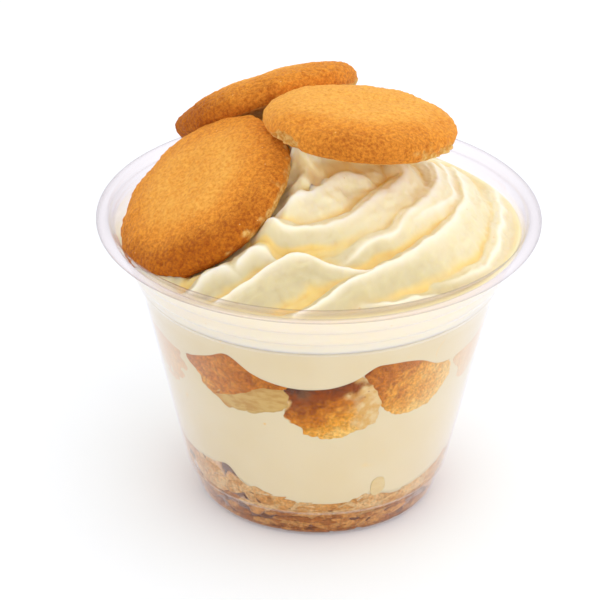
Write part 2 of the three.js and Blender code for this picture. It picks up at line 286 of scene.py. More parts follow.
# Surroundings: half the floor's side, brightness of the world and how it leans, and the lamps, in metres
FLOOR_HALF = 2.5
WORLD_LEVEL = 0.97
WORLD_LEAN = (0.1, 0.02, 0.03)
LAMP_AIM = Vector((0, 0, 0.05))
LAMPS = {
    "key": {"at": (0.6, -0.1, 1.2), "size": 1.4, "power": 1.4},
    "front": {"at": (0.7, -1, 0.5), "size": 0.9, "power": 2.6},
    "top": {"at": (-0.1, 0.5, 1.25), "size": 1.6, "power": 1.8},
}


def tint(red, green, blue):
    """Linear colour with alpha of an 8-bit screen colour."""
    shares = [part / 255 for part in (red, green, blue)]
    linear = [part / 12.92 if part <= 0.04045 else ((part + 0.055) / 1.055) ** 2.4 for part in shares]
    return (*linear, 1)


def smoothstep(low, high, value):
    """Share of the way from low to high, easing in and out."""
    share = np.clip((value - low) / (high - low), 0, 1)
    return share * share * (3 - 2 * share)


def unit_length(vectors):
    """Vectors scaled to a length of one."""
    return vectors / np.linalg.norm(vectors, axis=-1, keepdims=True)


def ripple(points, wavelength, seed, waves=26):
    """Smooth seeded noise of about unit size: a sum of plane waves near one wavelength."""
    rng = np.random.default_rng(seed)
    direction = unit_length(rng.normal(size=(waves, 3)))
    pitch = 2 * np.pi / (wavelength * rng.uniform(0.7, 1.5, waves))
    phase = rng.uniform(0, 2 * np.pi, waves)
    flat = points.reshape(-1, 3)
    total = np.sin(flat @ (direction * pitch[:, None]).T + phase).sum(axis=1)
    return total.reshape(points.shape[:-1]) * math.sqrt(2 / waves)


def layered(points, layers, seed=0):
    """Noise in layers of (size, wavelength, step from the seed)."""
    return sum(size * ripple(points, wavelength, seed + step) for size, wavelength, step in layers)


def hump(points, middle, width):
    """A bell of unit height over a middle in plan."""
    return np.exp(-((points[..., :2] - middle) ** 2 / np.square(width)).sum(axis=-1))


def polar(bearing, radius, height):
    """Points at bearings in radians, radii and heights, as one array."""
    bearing, radius, height = np.broadcast_arrays(bearing, radius, height)
    return np.stack([radius * np.sin(bearing), -radius * np.cos(bearing), height], axis=-1)


def wall_radius(height):
    """Radius of the cup's outer wall at a height."""
    radii, heights = np.array((FOOT, *WALL_LINE)).T
    return np.interp(height, heights, radii)


def on_wall(bearing, height, depth=0):
    """Points at bearings and heights, at a depth in from the outer wall."""
    return polar(bearing, wall_radius(height) - depth, height)


def smooth_curve(stops, values, at):
    """A smooth curve through values at stops, read at other places between them."""
    slopes = np.gradient(values, stops, axis=0)
    after = np.clip(np.searchsorted(stops, at), 1, len(stops) - 1)
    before = after - 1
    span = stops[after] - stops[before]
    t = (at - stops[before]) / span
    if values.ndim > 1:
        span = span[:, None]
        t = t[:, None]
    start = values[before] * (1 + 2 * t) * (1 - t) ** 2 + slopes[before] * span * t * (1 - t) ** 2
    end = values[after] * t * t * (3 - 2 * t) + slopes[after] * span * t * t * (t - 1)
    return start + end


def round_the_wall(keys):
    """A smooth periodic level round the cup through (bearing, level) keys, as a function of bearing."""
    bearings, levels = np.array(keys, float).T
    bearings = np.concatenate([bearings - 360, bearings, bearings + 360])
    levels = np.tile(levels, 3)

    def level(bearing):
        return smooth_curve(bearings, levels, np.mod(np.degrees(bearing) + 180, 360) - 180)

    return level


upper_edge = round_the_wall(UPPER_EDGE)
lower_edge = round_the_wall(LOWER_EDGE)
crumb_edge = round_the_wall(CRUMB_EDGE)
swirl_edge = round_the_wall(SWIRL_EDGE)


def full_turn(count):
    """Even bearings round the cup, as a row."""
    return np.linspace(0, 2 * np.pi, count, endpoint=False)[None, :]


def grid_faces(rows, columns):
    """Quads of a grid whose columns close on themselves."""
    row, column = np.meshgrid(np.arange(rows - 1), np.arange(columns), indexing="ij")
    right = (column + 1) % columns
    low = row * columns
    high = low + columns
    return np.stack([low + column, low + right, high + right, high + column], -1).reshape(-1, 4)


def skin(rings, first=None, last=None):
    """Points and faces of a closed skin over rings of points, with poles in or beyond its end rings."""
    rows, columns = rings.shape[:2]
    first = rings[0].mean(axis=0) if first is None else first
    last = rings[-1].mean(axis=0) if last is None else last
    points = np.concatenate([rings.reshape(-1, 3), [first, last]])
    faces = grid_faces(rows, columns).tolist()
    pole = rows * columns
    end = pole - columns
    for column in range(columns):
        right = (column + 1) % columns
        faces.append((pole, right, column))
        faces.append((pole + 1, end + column, end + right))
    return points, faces


def with_poles(values, first=0, last=0):
    """A number for each point of a skin: those of its rings, then of its two poles."""
    return [*np.ravel(values), first, last]


def new_object(name, data):
    """An object with its data, in the scene."""
    made = bpy.data.objects.new(name, data)
    bpy.context.scene.collection.objects.link(made)
    return made


def add_piece(name, shape, material, nodes, marks=None):
    """A smooth mesh piece that rides on the body and stands for nodes; marks are numbers at its points."""
    points, faces = shape
    mesh = bpy.data.meshes.new(name)
    mesh.from_pydata((points * MM).tolist(), [], faces)
    mesh.update()
    mesh.polygons.foreach_set("use_smooth", [True] * len(mesh.polygons))
    for mark, values in (marks or {}).items():
        layer = mesh.attributes.new(mark, "FLOAT", "POINT")
        layer.data.foreach_set("value", np.full(len(points), values, np.float32))
    mesh.materials.append(material)
    piece = new_object(name, mesh)
    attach(piece, "root")
    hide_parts(*nodes)


def light_depth(weight, radius, scale):
    """Inputs of a surface that light goes into, with a scale in millimetres."""
    return {"Subsurface Weight": weight, "Subsurface Radius": radius, "Subsurface Scale": scale * MM}


class Paint:
    """One material's node tree, built a node at a time."""

    def __init__(self, name):
        self.material = bpy.data.materials.new(name)
        self.material.use_nodes = True
        self.tree = self.material.node_tree
        self.tree.nodes.clear()
        self.place = self.node("TexCoord").outputs["Object"]

    def node(self, kind, inputs=None, **properties):
        made = self.tree.nodes.new("ShaderNode" + kind)
        for key, value in properties.items():
            setattr(made, key, value)
        for key, value in (inputs or {}).items():
            if isinstance(value, bpy.types.NodeSocket):
                self.tree.links.new(value, made.inputs[key])
            else:
                made.inputs[key].default_value = value
        return made

    def noise(self, wavelength, detail=2, roughness=0.5, stretch=None):
        """Noise from 0 to 1 with a wavelength in millimetres."""
        place = self.place
        if stretch:
            place = self.node("Mapping", {"Vector": place, "Scale": stretch}).outputs[0]
        inputs = {"Vector": place, "Scale": 1 / (wavelength * MM), "Detail": detail, "Roughness": roughness}
        return self.node("TexNoise", inputs).outputs["Fac"]

    def cells(self, size):
        """Distance to scattered points that lie about a size in millimetres apart."""
        inputs = {"Vector": self.place, "Scale": 1 / (size * MM)}
        return self.node("TexVoronoi", inputs).outputs["Distance"]

    def mark(self, name):
        """A piece's own number at each point."""
        return self.node("Attribute", attribute_name=name).outputs["Fac"]

    def math(self, operation, first, second=0):
        return self.node("Math", {0: first, 1: second}, operation=operation).outputs[0]

    def span(self, value, low, high, start=0, end=1):
        """A value's smooth share between low and high, spread from start to end."""
        inputs = {"Value": value, "From Min": low, "From Max": high, "To Min": start, "To Max": end}
        return self.node("MapRange", inputs, interpolation_type="SMOOTHSTEP").outputs[0]

    def blend(self, factor, first, second, kind="MIX"):
        """Two colours mixed by a factor."""
        made = self.node("Mix", {0: factor, 6: first, 7: second}, data_type="RGBA", blend_type=kind)
        return made.outputs[2]

    def shades(self, value, colour, *steps):
        """A colour that turns into others as a value grows, in steps of (low, high, next colour)."""
        for low, high, following in steps:
            colour = self.blend(self.span(value, low, high), colour, following)
        return colour

    def bump(self, height, distance, strength=1, below=None):
        """A bump of a height in millimetres, over another one."""
        inputs = {"Height": height, "Distance": distance * MM, "Strength": strength}
        if below:
            inputs["Normal"] = below
        return self.node("Bump", inputs).outputs[0]

    def wander(self, low, high, wavelength, detail=2, roughness=0.5):
        """A value that wanders between low and high over a wavelength in millimetres."""
        return self.span(self.noise(wavelength, detail, roughness), 0.3, 0.7, low, high)

    def finish(self, shader):
        self.node("OutputMaterial", {"Surface": shader})
        return self.material

    def opaque(self, inputs, specular=0.06):
        """The finished material of a surface that isn't clear."""
        inputs["Specular IOR Level"] = specular
        return self.finish(self.node("BsdfPrincipled", inputs).outputs[0])


def cup_material():
    """Clear thermoformed plastic: see-through where it is faced, glossy and mauve where it turns away."""
    paint = Paint("clear_plastic")
    gloss = paint.node("BsdfPrincipled", {
        "Base Color": tint(252, 249, 250),
        "Metallic": 1,
        "Roughness": paint.span(paint.noise(14), 0.3, 0.8, 0.04, 0.08),
        "Normal": paint.bump(paint.noise(9, stretch=(1, 1, 0.4)), 0.05, 0.35),
    }).outputs[0]
    aslant = paint.node("LayerWeight", {"Blend": 0.5}).outputs["Facing"]
    wall = paint.blend(paint.math("POWER", aslant, 9), tint(253, 250, 251), tint(214, 205, 210))
    bead = paint.blend(paint.math("POWER", aslant, 3), tint(253, 250, 251), tint(190, 182, 187))
    film = paint.blend(paint.mark("bead"), wall, bead)
    film = paint.node("BsdfTransparent", {"Color": film}).outputs[0]
    strength = paint.span(paint.mark("bead"), 0, 1, 1.1, 0.5)
    shine = paint.math("MULTIPLY", paint.math("POWER", aslant, 3), strength)
    clear = paint.node("MixShader", {0: shine, 1: film, 2: gloss}).outputs[0]
    through = paint.node("BsdfTransparent", {"Color": tint(253, 252, 253)}).outputs[0]
    path = paint.node("LightPath")
    for ray in ("Is Shadow Ray", "Is Diffuse Ray"):
        clear = paint.node("MixShader", {0: path.outputs[ray], 1: clear, 2: through}).outputs[0]
    return paint.finish(clear)


def cream_material():
    """Whipped cream with froth and tan specks, a painted highlight on the crests, painted light under the
    top wafers, painted yellow shade in the folds and painted shade at the front.
    """
    paint = Paint("whipped_cream")
    patch = paint.span(paint.noise(7), 0.35, 0.75, 0, 0.35)
    colour = paint.blend(patch, tint(232, 219, 182), tint(229, 212, 166))
    # Painted shade: the front of the swirl is darkened.
    colour = paint.blend(paint.mark("front"), colour, tint(216, 202, 160))
    # Painted light: the cream under the top wafers is lightened.
    colour = paint.blend(paint.mark("painted_lift"), colour, tint(250, 239, 200))
    # Painted shade: the folds and hollows are turned a deeper yellow.
    colour = paint.blend(paint.span(paint.mark("fold"), 0, 1), colour, tint(244, 215, 136))
    # Painted highlight: the crests, and with less weight the torn middle and the side, are lightened.
    colour = paint.blend(paint.mark("crest"), colour, tint(249, 241, 221))
    speck = paint.span(paint.cells(4.2), 0.03, 0.055, 0.55, 0)
    colour = paint.blend(speck, colour, tint(224, 178, 92))
    froth = paint.bump(paint.noise(1.1, 3), 0.06, 0.5)
    froth = paint.bump(paint.noise(0.35), 0.02, 0.4, froth)
    return paint.opaque({
        "Base Color": colour,
        "Roughness": paint.wander(0.42, 0.58, 3),
        **light_depth(0.85, (1, 0.9, 0.5), 3.2),
        "Normal": froth,
    }, specular=0.4)


def pudding_material():
    """Smooth set pudding with soft mottling, thin yellow trails and a few specks."""
    paint = Paint("vanilla_pudding")
    mottle = paint.span(paint.noise(12, 3), 0.3, 0.75, 0, 0.6)
    colour = paint.blend(mottle, tint(224, 210, 173), tint(220, 203, 160))
    trail = paint.math("ABSOLUTE", paint.math("SUBTRACT", paint.noise(17, 1), 0.5))
    here = paint.span(paint.noise(11), 0.6, 0.7)
    trail = paint.math("MULTIPLY", paint.span(trail, 0, 0.006, 0.5, 0), here)
    colour = paint.blend(trail, colour, tint(238, 200, 112))
    speck = paint.span(paint.cells(5.5), 0.04, 0.08, 0.6, 0)
    colour = paint.blend(speck, colour, tint(233, 188, 98))
    return paint.opaque({
        "Base Color": colour,
        "Roughness": paint.wander(0.4, 0.55, 2),
        **light_depth(0.3, (1, 0.8, 0.45), 2),
        "Normal": paint.bump(paint.noise(2.2), 0.05, 0.4),
    })


def wafer_material():
    """Dry baked wafer: golden dome, browner rim with painted shade on one side, sandy grain, pale sugar
    specks lit as painted glints, pale crumb along the bare lower edge.
    """
    paint = Paint("baked_wafer")
    # The mark read here holds the crust's browning together with painted shade on the wafer's darker side.
    bake_and_shade = paint.math("ADD", paint.mark("bake_and_shade"), paint.wander(-0.07, 0.07, 9, 3))
    colour = paint.shades(
        bake_and_shade, tint(254, 184, 82), (0, 0.5, tint(238, 154, 54)), (0.4, 1, tint(186, 100, 18)))
    grain = paint.noise(0.7, 4, 0.66)
    brown_and_shade = paint.span(bake_and_shade, 0.15, 0.85)
    dark = paint.blend(brown_and_shade, (0.87, 0.69, 0.5, 1), (0.67, 0.49, 0.32, 1))
    light = paint.blend(brown_and_shade, (1.11, 1.2, 1.4, 1), (1.27, 1.42, 1.66, 1))
    shade = paint.blend(paint.span(grain, 0.27, 0.73), dark, light)
    colour = paint.blend(1, colour, shade, "MULTIPLY")
    # Pale sugar specks, lightened further as painted glints.
    sugar_glint = paint.span(paint.cells(3.4), 0.03, 0.05, 0.4, 0)
    colour = paint.blend(sugar_glint, colour, tint(255, 228, 168))
    crumb = paint.blend(paint.span(paint.noise(0.9, 3), 0.35, 0.65), tint(216, 152, 66), tint(240, 196, 118))
    colour = paint.blend(paint.mark("bare"), colour, crumb)
    sand = paint.bump(paint.noise(1.7), 0.35, 0.6)
    sand = paint.bump(grain, 0.55, 1, sand)
    return paint.opaque({
        "Base Color": colour,
        "Roughness": paint.wander(0.62, 0.85, 0.7),
        **light_depth(0.1, (1, 0.5, 0.2), 0.8),
        "Normal": sand,
    }, specular=0.15)


def soaked_material():
    """Wafer that has drunk the pudding: browned crust with painted shade across it, golden crumb, pores
    where it broke.
    """
    paint = Paint("soaked_wafer")
    # The mark read here holds the crust's browning together with the painted shade that runs across each
    # piece.
    bake_and_shade = paint.math("ADD", paint.mark("bake_and_shade"), paint.wander(-0.13, 0.13, 1.6, 4, 0.65))
    colour = paint.shades(
        bake_and_shade, tint(230, 186, 100), (0, 0.35, tint(216, 150, 48)), (0.35, 0.65, tint(186, 109, 18)),
        (0.65, 1, tint(134, 62, 0)), (1.05, 1.35, tint(90, 54, 36)))
    grain = paint.wander(0.72, 1.24, 0.7, 3, 0.7)
    colour = paint.blend(1, colour, grain, "MULTIPLY")
    haze = paint.span(paint.noise(5.5), 0.5, 0.75, 0, 0.15)
    colour = paint.blend(haze, colour, tint(206, 156, 94))
    pores = paint.span(paint.cells(1.6), 0.08, 0.2, 0.7, 0)
    broken = paint.blend(paint.span(paint.noise(1.5, 3), 0.35, 0.65), tint(222, 194, 138), tint(212, 168, 96))
    broken = paint.blend(pores, broken, tint(168, 116, 62))
    colour = paint.blend(paint.mark("bare"), colour, broken)
    colour = paint.blend(paint.mark("veil"), colour, tint(226, 204, 168))
    return paint.opaque({
        "Base Color": colour,
        "Roughness": paint.wander(0.45, 0.7, 1.3),
        **light_depth(0.15, (1, 0.5, 0.2), 1),
        "Normal": paint.bump(paint.noise(0.7, 3), 0.12, 0.8),
    })


def banana_material():
    """Banana flesh that has gone tan, with soft streaks and a golden edge."""
    paint = Paint("banana_flesh")
    streak = paint.span(paint.noise(2.4, 3, stretch=(1, 1, 2.2)), 0.35, 0.7)
    colour = paint.blend(streak, tint(203, 169, 101), tint(187, 144, 74))
    colour = paint.blend(paint.mark("rim"), colour, tint(196, 138, 58))
    colour = paint.blend(paint.mark("veil"), colour, tint(228, 208, 158))
    return paint.opaque({
        "Base Color": colour,
        "Roughness": paint.wander(0.35, 0.5, 1.5),
        **light_depth(0.35, (1, 0.7, 0.3), 1.8),
        "Normal": paint.bump(paint.noise(1.2), 0.06, 0.5),
    })


def crumb_material():
    """Broken wafers soaked at the bottom of the cup: each piece has its own tone."""
    paint = Paint("soaked_crumbs")
    tone = paint.math("ADD", paint.mark("tone"), paint.wander(-0.2, 0.2, 2.2, 4, 0.7))
    colour = paint.shades(
        tone, tint(106, 56, 14), (0, 0.35, tint(160, 94, 30)), (0.35, 0.65, tint(202, 143, 74)),
        (0.65, 1, tint(222, 182, 126)))
    grain = paint.wander(0.75, 1.2, 0.6, 3, 0.7)
    colour = paint.blend(1, colour, grain, "MULTIPLY")
    return paint.opaque({
        "Base Color": colour,
        "Roughness": paint.wander(0.4, 0.65, 1.4),
        **light_depth(0.12, (1, 0.5, 0.25), 1),
        "Normal": paint.bump(paint.noise(0.8, 3), 0.12, 0.7),
    })


def gap_shade_material():
    """Painted shade in the gaps between the crumbs: a dark colour behind them."""
    paint = Paint("crumb_gap_shade")
    colour = paint.blend(paint.wander(0, 1, 3, 3), tint(92, 50, 22), tint(134, 82, 40))
    return paint.opaque({
        "Base Color": colour,
        "Roughness": paint.wander(0.35, 0.6, 1.2),
        "Normal": paint.bump(paint.noise(1, 3), 0.15, 0.8),
    })


def floor_material():
    """Plain pale studio floor."""
    paint = Paint("pale_floor")
    colour = paint.blend(paint.noise(60), tint(230, 233, 238), tint(232, 235, 240))
    return paint.opaque({
        "Base Color": colour,
        "Roughness": 0.75,
        "Emission Color": (1, 1, 1, 1),
        "Emission Strength": 0.17,
    }, specular=0.15)


def rounded(corners, reach, steps=6):
    """A line through corners, each turned by a short curve that reaches some way along both legs."""
    corners = np.array(corners, float)
    line = [corners[0]]
    for before, corner, after in zip(corners, corners[1:], corners[2:]):
        ends = []
        for other in (before, after):
            leg = other - corner
            length = np.linalg.norm(leg)
            ends.append(corner + leg / length * min(reach, length * 0.45))
        for t in np.linspace(0, 1, steps):
            line.append(ends[0] * (1 - t) ** 2 + corner * 2 * t * (1 - t) + ends[1] * t * t)
    line.append(corners[-1])
    return np.array(line)


def thicken(line, thickness):
    """The right and left side of a wall of even thickness along its middle line."""
    legs = unit_length(np.diff(line, axis=0))
    along = unit_length(np.concatenate([legs[:1], (legs[:-1] + legs[1:]) / 2, legs[-1:]]))
    across = np.stack([along[:, 1], -along[:, 0]], axis=1) * thickness / 2
    return line + across, line - across


def clear_cup():
    """The cup as one even wall from the middle of its base to the bead of its rim."""
    side = [(radius - WALL / 2, height) for radius, height in WALL_LINE[1:]]
    outside, inside = thicken(rounded([*BASE_LINE, *side], STEP_ROUNDING), WALL)
    last = len(RIM_LINE) - 1
    rim = smooth_curve(np.arange(last + 1), np.array(RIM_LINE), np.linspace(0, last, RIM_STEPS))
    profile = np.concatenate([outside[1:-1], rim, inside[-2:0:-1]])
    rings = polar(full_turn(CUP_SEGMENTS), profile[:, :1], profile[:, 1:])
    shape = skin(rings, (0, 0, outside[0, 1]), (0, 0, inside[0, 1]))
    bead = np.repeat(smoothstep(*BEAD_BETWEEN, profile[:, 1]), CUP_SEGMENTS)
    add_piece("clear_cup", shape, cup_material(), ["cup"], {"bead": with_poles(bead)})


def wafer_frame(wafer):
    """Turn from a top wafer's own axes to the cup's: its X lies level to the right, its Z is its axis."""
    axis = unit_length(np.array(wafer["axis"]))
    across = unit_length(np.cross((0, 1, 0), axis))
    return np.stack([across, np.cross(axis, across), axis], axis=1)


def wafer_profile():
    """A top wafer's section as shares of its radius and heights: flat underside, soft side, dome."""
    under = np.linspace(0.06, 1, WAFER_FLAT_ROWS)[:, None]
    rise = np.linspace(0, np.pi / 2, WAFER_SIDE_ROWS)[1:, None]
    dome = 1 - 0.975 * np.linspace(0, 1, WAFER_DOME_ROWS)[1:, None] ** 1.7
    share = np.concatenate([under * WAFER_FLAT, WAFER_FLAT + (1 - WAFER_FLAT) * np.sin(rise), dome])
    height = np.concatenate([
        np.full_like(under, -WAFER_EDGE), -WAFER_EDGE * np.cos(rise),
        WAFER_DOME * np.sqrt(1 - dome ** WAFER_FULLNESS),
    ])
    return share, height


def widened(points, scale):
    """Points moved out from the Z axis by a scale of their own."""
    return points * np.stack([scale, scale, np.ones_like(scale)], axis=-1)


def worn_rim(local, angle, share, height, patches, seed):
    """A top wafer's points with its rim worn back in patches, and how bare of crust each point is."""
    rim = smoothstep(0.82, 0.97, share) * smoothstep(3.2, 1.2, height)
    bare = np.zeros(local.shape[:2])
    for direction, spread, bite in patches:
        apart = np.angle(np.exp(1j * (angle - math.radians(direction))))
        edge = apart / math.radians(spread) + 0.25 * ripple(local, 3, seed + 2)
        low = smoothstep(0.5, -1, height + 0.5 * ripple(local, 2, seed + 3))
        patch = smoothstep(1, 0.55, np.abs(edge)) * rim * low
        bare = np.maximum(bare, patch)
        depth = bite * patch * (0.8 + 0.45 * ripple(local, 1.7, seed + 4))
        local = widened(local, 1 - depth / WAFER_RADIUS)
    return local, bare


def top_wafer(side, wafer, material, seed):
    """One whole wafer: fine dome, worn rim with bare patches, flat underside."""
    angle = full_turn(WAFER_SEGMENTS)
    share, height = wafer_profile()
    radius = share * WAFER_RADIUS
    local = np.stack(np.broadcast_arrays(radius * np.cos(angle), radius * np.sin(angle), height), axis=-1)
    local = widened(local, 1 + layered(local * (1, 1, 0), WAFER_WOBBLE, seed))
    local, bare = worn_rim(local, angle, share, height, wafer["bare"], seed)
    away = unit_length(local + (0, 0, WAFER_RADIUS * 0.35))
    local = local + away * layered(local, WAFER_RELIEF, seed)[..., None]
    # Painted shade: the rim browns and darkens more towards one side of the wafer.
    browning_and_shade = (0.5 + 0.5 * np.cos(angle - math.radians(wafer["brown_and_shade"]))) ** 2
    browning_and_shade = wafer["rim"] + (wafer["bake_and_shade"] - wafer["rim"]) * browning_and_shade
    bake_and_shade = wafer["dome"] + smoothstep(0.4, 1.02, share) * (browning_and_shade - wafer["dome"])
    underside = 0.7
    bare = np.where(height < -WAFER_EDGE * 0.9, underside, bare)
    rings = local * (wafer["size"], wafer["size"], 1) @ wafer_frame(wafer).T + np.array(wafer["at"])
    marks = {"bake_and_shade": with_poles(bake_and_shade), "bare": with_poles(bare, first=underside)}
    add_piece(f"wafer_{side}", skin(rings), material, [f"top_wafer_{side}"], marks)


def top_wafers():
    """The three whole wafers on the cream."""
    baked = wafer_material()
    for index, (side, wafer) in enumerate(TOP_WAFERS.items()):
        top_wafer(side, wafer, baked, WAFER_SEED + WAFER_SEED_STEP * index)


def under_wafers(points):
    """Points lowered to lie under the top wafers, and piled up a little round their rims."""
    points = points.copy()
    for wafer in TOP_WAFERS.values():
        turn = wafer_frame(wafer)
        local = (points - np.array(wafer["at"])) @ turn
        reach = np.hypot(local[..., 0], local[..., 1]) / (WAFER_RADIUS * wafer["size"])
        height = local[..., 2]
        pile = wafer["pile"] * np.exp(-((reach - PILE_AT) / PILE_WIDTH) ** 2) * smoothstep(-9, -4, height)
        ceiling = -WAFER_EDGE - CREAM_GAP + 70 * np.maximum(reach - 0.92, 0) ** 1.5
        points[..., 2] += (np.minimum(height + pile, ceiling) - height) / turn[2, 2]
    return points


def eased(values, reach):
    """Values on a grid whose columns close on themselves, averaged over some cells to each side."""
    width = 2 * reach + 1
    values = sum(np.roll(values, shift, axis=1) for shift in range(-reach, reach + 1)) / width
    padded = np.pad(values, ((reach, reach), (0, 0)), mode="edge")
    return sum(padded[shift:shift + len(values)] for shift in range(width)) / width


def one_fold(fold, half_turn, place):
    """Height of one fold at plan points, and how near each point is to its crest."""
    keys = half_turn * np.array(fold["line"])
    stops = np.concatenate([[0], np.cumsum(np.linalg.norm(np.diff(keys, axis=0), axis=1))])
    at = np.linspace(0, stops[-1], FOLD_STEPS)
    line = smooth_curve(stops, keys, at)
    along = unit_length(np.gradient(line, axis=0))
    apart = (place[:, :1] - line[:, 0]) ** 2 + (place[:, 1:] - line[:, 1]) ** 2
    near = apart.argmin(axis=1)
    away = place - line[near]
    side = along[near, 0] * away[:, 1] - along[near, 1] * away[:, 0]
    ends = (near == 0) | (near == FOLD_STEPS - 1)
    gap = np.where(ends, np.linalg.norm(away, axis=1), np.abs(side))
    rise, inner, outer = (
        np.interp(at / stops[-1], np.linspace(0, 1, len(fold[key])), fold[key])[near]
        for key in ("rise", "inner", "outer"))
    outward = smoothstep(-0.7, 0.7, side / np.maximum(gap, 0.001))
    spread = np.hypot(gap, CREST_ROUNDING) - CREST_ROUNDING
    spread /= inner + (outer - inner) * outward
    drop = outward * (0.45 * spread + 0.55 * spread ** 2.2) + (1 - outward) * spread ** 1.15
    shape = np.clip(1 - drop, 0, 1)
    groove = GROOVE_DEPTH * np.cos(2 * np.pi * side / GROOVE_PITCH) * smoothstep(0.97, 0.75, shape)
    return (rise + groove) * shape, shape ** CREST_HIGHLIGHT_SHARPNESS * smoothstep(0.8, 2, rise)


def swirl_folds(place):
    """Rise of all the folds over the crevices at plan points, and how near each point is to a crest."""
    total = np.zeros(len(place))
    crest = np.zeros(len(place))
    for half_turn, folds in ((1, SWIRL_FOLDS + BACK_FOLDS), (-1, SWIRL_FOLDS)):
        for fold in folds:
            height, near_crest = one_fold(fold, half_turn, place)
            total += np.expm1(height / FOLD_BLEND)
            crest = np.maximum(crest, near_crest)
    return FOLD_BLEND * np.log1p(total), crest


def swirl_dome():
    """Bearings, shares of the radius and points of the plain dome under the folds, from the wall inward."""
    bearing = np.radians(np.concatenate([
        np.linspace(*SWIRL_FRONT, endpoint=False), np.linspace(*SWIRL_BACK, endpoint=False)]))[None, :]
    share = np.concatenate([
        np.linspace(*SWIRL_FOLDED, endpoint=False), np.linspace(*SWIRL_COVERED)])[:, None]
    edge = swirl_edge(bearing)
    radius = share * (wall_radius(edge) - UPPER_DEPTH)
    level = SWIRL_PEAK + (edge - SWIRL_PEAK) * share ** SWIRL_POWER
    return bearing, share, polar(bearing, radius, level)


def cream_top(share, dome):
    """The swirl's folds, lumps and torn middle over its plain dome, and the marks of its material."""
    warp = np.stack([layered(dome, FOLD_WARP, seed) for seed in FOLD_WARP_SEEDS], axis=-1)
    rise, crest = swirl_folds((dome[..., :2] + warp).reshape(-1, 2))
    rise = rise.reshape(dome.shape[:2]) * (1 + 0.05 * ripple(dome, 11, 15))
    crest = crest.reshape(rise.shape)
    fade = smoothstep(1, 0.92, share)
    core = hump(dome, (0, 0), CORE_WIDTH)
    torn = hump(dome, TORN_AT, TORN_WIDTH)
    relief = rise - FOLD_DEPTH + CORE_RISE * core + COLUMN_RISE * hump(dome, COLUMN_AT, COLUMN_WIDTH)
    across = np.pad(relief, ((1, 1), (0, 0)), mode="edge")
    beside = np.roll(relief, 1, axis=1) + np.roll(relief, -1, axis=1)
    top = dome.copy()
    top[..., 2] += fade * (relief / 2 + (across[:-2] + across[2:] + beside) / 8)
    round_the_dome = np.roll(top, -1, axis=1) - np.roll(top, 1, axis=1)
    normal = unit_length(np.cross(round_the_dome, np.gradient(top, axis=0)))
    lumps = layered(top, CREAM_LUMPS) + torn * layered(top, TORN_LUMPS)
    top += normal * (np.sign(normal[..., 2]) * lumps * (1 - 0.5 * crest) * fade)[..., None]
    # Painted shade: hollows below the folds around them are marked for a deeper yellow.
    hollow_shade = np.clip(eased(relief, HOLLOW_SHADE_REACH) - relief, 0, 1)
    shallow = np.clip(0.3 * (1 - rise / 1.6), 0, 1) * (1 - core)
    # Marks of painted light and shade: yellow in the folds, highlight on crests and torn middle, front shade,
    # light under the wafers.
    marks = {
        "fold": np.clip(shallow + hollow_shade, 0, 1) * fade,
        "crest": np.maximum(crest, 0.4 * torn),
        "front": smoothstep(*FRONT_SHADE_BETWEEN, dome[..., 1]),
        "painted_lift": hump(dome, PAINTED_LIFT_AT, PAINTED_LIFT_WIDTH),
    }
    return under_wafers(top), marks


def cream_side(bearing, brim):
    """The swirl's side against the wall, up to the level of its brim, and the marks of its material."""
    drop = np.linspace(0, 1, SIDE_ROWS)[:-1, None]
    level = SPLIT_LEVEL + (brim - SPLIT_LEVEL) * drop
    side = on_wall(bearing, level, UPPER_DEPTH)
    pocket = np.clip(ripple(side * (1, 1, 6), 14, 20) - 0.7, 0, 0.6) * smoothstep(0, 0.25, drop)
    side = on_wall(bearing, level, UPPER_DEPTH + 0.1 * pocket)
    plain = np.zeros_like(pocket)
    # Painted light: the side is lightened like the crests, and its air pockets take the painted yellow shade
    # of the folds.
    return side, {"fold": 0.6 * pocket, "crest": plain + 0.6, "front": plain, "painted_lift": plain}


def cream():
    """The piped swirl: a folded dome over a side that is pressed against the wall."""
    bearing, share, dome = swirl_dome()
    top, top_marks = cream_top(share, dome)
    side, side_marks = cream_side(bearing, top[0, :, 2])
    shape = skin(np.concatenate([side, top]), (0, 0, SPLIT_LEVEL))
    marks = {mark: with_poles(np.concatenate([side_marks[mark], top_marks[mark]])) for mark in top_marks}
    add_piece("cream", shape, cream_material(), ["cream_swirl"], marks)


def pudding_layer(name, low, high, depth, material, node):
    """Pudding between two levels round the wall, at a depth that depends on bearing and height."""
    bearing = full_turn(WALL_COLUMNS)
    share = np.linspace(0, 1, PUDDING_ROWS)[:, None]
    height = low(bearing) + (high(bearing) - low(bearing)) * share
    rings = on_wall(bearing, height, depth(bearing, height))
    shape = skin(rings, (0, 0, height[0].mean()), (0, 0, height[-1].mean()))
    add_piece(name, shape, material, [node])


def upper_depth(bearing, height):
    """Depth of the upper pudding, whose lower lip turns in behind the wall."""
    lip = np.clip(upper_edge(bearing) + UPPER_LIP - height, 0, UPPER_LIP)
    return UPPER_DEPTH + UPPER_LIP_DEPTH * (lip / UPPER_LIP) ** 3


def lower_depth(bearing, height):
    """Depth of the lower pudding, a little more where it lies behind the wafers."""
    recess = smoothstep(*LOWER_RECESS_BETWEEN, height - lower_edge(bearing))
    return LOWER_DEPTH + LOWER_RECESS * recess


def puddings():
    """The pudding over the wafers up to the cream, and the pudding under them down to the crumbs."""
    material = pudding_material()
    pudding_layer("pudding_above", upper_edge, lambda bearing: np.full_like(bearing, SPLIT_LEVEL),
                  upper_depth, material, "pudding_upper")
    pudding_layer("pudding_below", lambda bearing: crumb_edge(bearing) - PUDDING_OVERLAP,
                  lambda bearing: upper_edge(bearing) + PUDDING_OVERLAP,
                  lower_depth, material, "pudding_lower")


